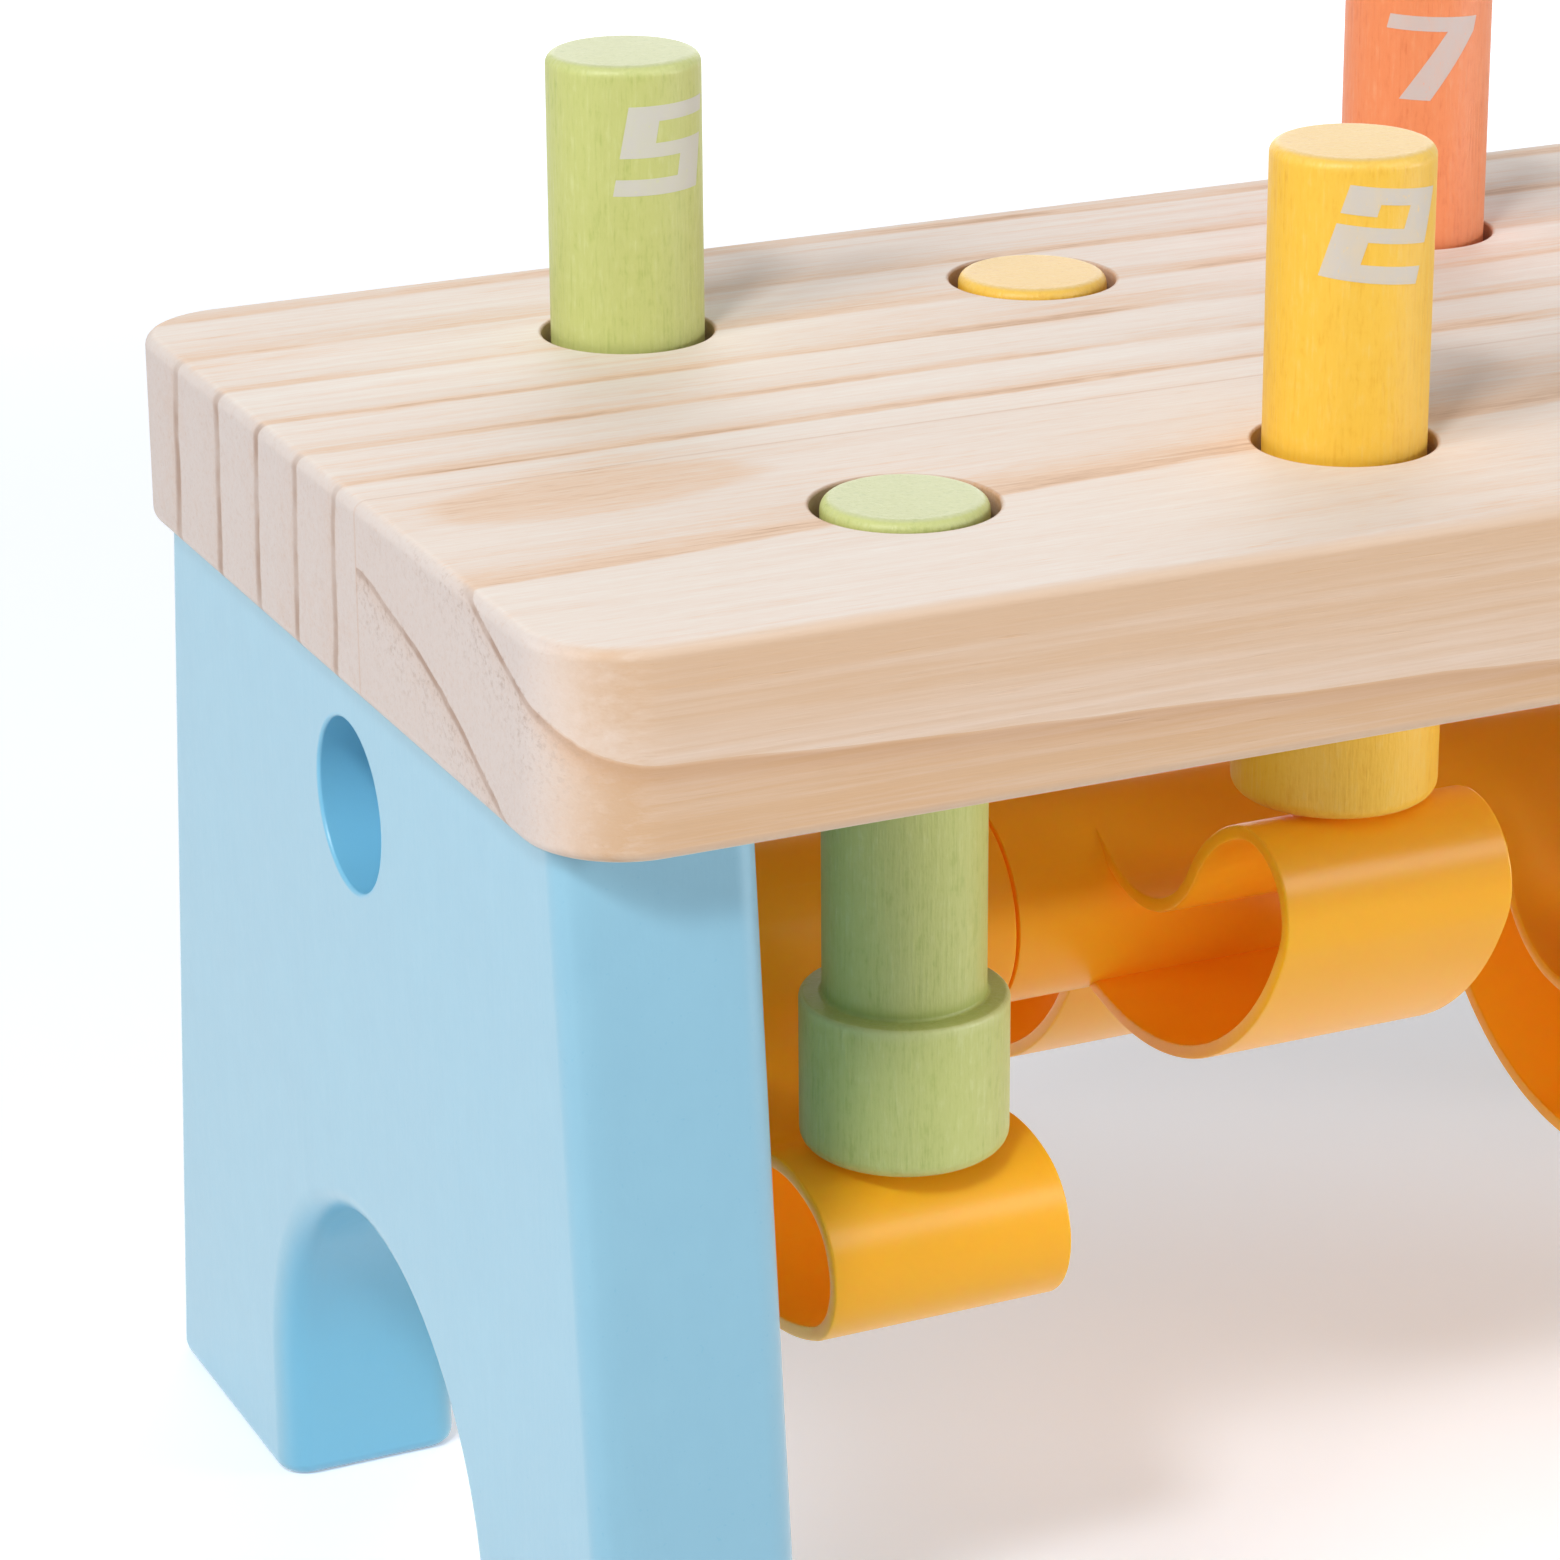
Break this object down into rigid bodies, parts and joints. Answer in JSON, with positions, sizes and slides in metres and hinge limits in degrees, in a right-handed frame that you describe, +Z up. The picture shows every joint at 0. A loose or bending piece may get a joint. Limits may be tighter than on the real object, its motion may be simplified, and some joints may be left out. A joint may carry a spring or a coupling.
{
  "type": "peg pounding bench",
  "caption": "Pounding bench with a board on arched leg panels: hitting a raised peg tips the rocker below it, which lifts the other peg of its column.",
  "frame": {"origin": "on the floor, under the middle of the bench", "axes": "+X along the bench, +Y to the back, +Z up"},
  "size_m": [0.234, 0.1296, 0.1515],
  "materials": {
    "pine": "sanded pine, clear matt lacquer",
    "panel_paint": "satin light blue paint on wood",
    "dowel_wood": "plain turned hardwood dowel",
    "rocker_plastic": "glossy moulded plastic",
    "green_paint": "satin green paint on turned wood",
    "yellow_paint": "satin yellow paint on turned wood",
    "coral_paint": "satin coral paint on turned wood",
    "blue_paint": "satin blue paint on turned wood"
  },
  "bodies": {
    "bench": {"top_board": "pine", "left_leg_panel": "panel_paint", "right_leg_panel": "panel_paint", "axle_dowel": "dowel_wood", "left_front_dowel": "dowel_wood", "left_back_dowel": "dowel_wood", "right_front_dowel": "dowel_wood", "right_back_dowel": "dowel_wood"},
    "rocker_1": {"rocker_1": "rocker_plastic"},
    "rocker_2": {"rocker_2": "rocker_plastic"},
    "rocker_3": {"rocker_3": "rocker_plastic"},
    "rocker_4": {"rocker_4": "rocker_plastic"},
    "peg_1": {"peg_1": "green_paint"},
    "peg_2": {"peg_2": "yellow_paint"},
    "peg_3": {"peg_3": "coral_paint"},
    "peg_4": {"peg_4": "blue_paint"},
    "peg_5": {"peg_5": "green_paint"},
    "peg_6": {"peg_6": "yellow_paint"},
    "peg_7": {"peg_7": "coral_paint"},
    "peg_8": {"peg_8": "blue_paint"}
  },
  "joints": [
    {"name": "rocker_1_hinge", "type": "hinge", "parent": "bench", "child": "rocker_1", "pos_m": [-0.0708, 0, 0.06595], "axis": [1, 0, 0], "range_deg": [-43, 0]},
    {"name": "rocker_2_hinge", "type": "hinge", "parent": "bench", "child": "rocker_2", "pos_m": [-0.0236, 0, 0.06595], "axis": [1, 0, 0], "range_deg": [0, 43]},
    {"name": "rocker_3_hinge", "type": "hinge", "parent": "bench", "child": "rocker_3", "pos_m": [0.0236, 0, 0.06595], "axis": [1, 0, 0], "range_deg": [-43, 0]},
    {"name": "rocker_4_hinge", "type": "hinge", "parent": "bench", "child": "rocker_4", "pos_m": [0.0708, 0, 0.06595], "axis": [1, 0, 0], "range_deg": [0, 43]},
    {"name": "peg_1_slide", "type": "slide", "parent": "bench", "child": "peg_1", "axis": [0, 0, 1], "range_m": [0, 0.02884]},
    {"name": "peg_2_slide", "type": "slide", "parent": "bench", "child": "peg_2", "axis": [0, 0, 1], "range_m": [-0.02884, 0]},
    {"name": "peg_3_slide", "type": "slide", "parent": "bench", "child": "peg_3", "axis": [0, 0, 1], "range_m": [0, 0.02884]},
    {"name": "peg_4_slide", "type": "slide", "parent": "bench", "child": "peg_4", "axis": [0, 0, 1], "range_m": [-0.02884, 0]},
    {"name": "peg_5_slide", "type": "slide", "parent": "bench", "child": "peg_5", "axis": [0, 0, 1], "range_m": [-0.02884, 0]},
    {"name": "peg_6_slide", "type": "slide", "parent": "bench", "child": "peg_6", "axis": [0, 0, 1], "range_m": [0, 0.02884]},
    {"name": "peg_7_slide", "type": "slide", "parent": "bench", "child": "peg_7", "axis": [0, 0, 1], "range_m": [-0.02884, 0]},
    {"name": "peg_8_slide", "type": "slide", "parent": "bench", "child": "peg_8", "axis": [0, 0, 1], "range_m": [0, 0.02884]}
  ],
  "couplings": [
    {"joint": "peg_1_slide", "follows": "rocker_1_hinge", "m_per_rad": -0.038428},
    {"joint": "peg_2_slide", "follows": "rocker_2_hinge", "m_per_rad": -0.038428},
    {"joint": "peg_3_slide", "follows": "rocker_3_hinge", "m_per_rad": -0.038428},
    {"joint": "peg_4_slide", "follows": "rocker_4_hinge", "m_per_rad": -0.038428},
    {"joint": "peg_5_slide", "follows": "rocker_1_hinge", "m_per_rad": 0.038428},
    {"joint": "peg_6_slide", "follows": "rocker_2_hinge", "m_per_rad": 0.038428},
    {"joint": "peg_7_slide", "follows": "rocker_3_hinge", "m_per_rad": 0.038428},
    {"joint": "peg_8_slide", "follows": "rocker_4_hinge", "m_per_rad": 0.038428}
  ]
}
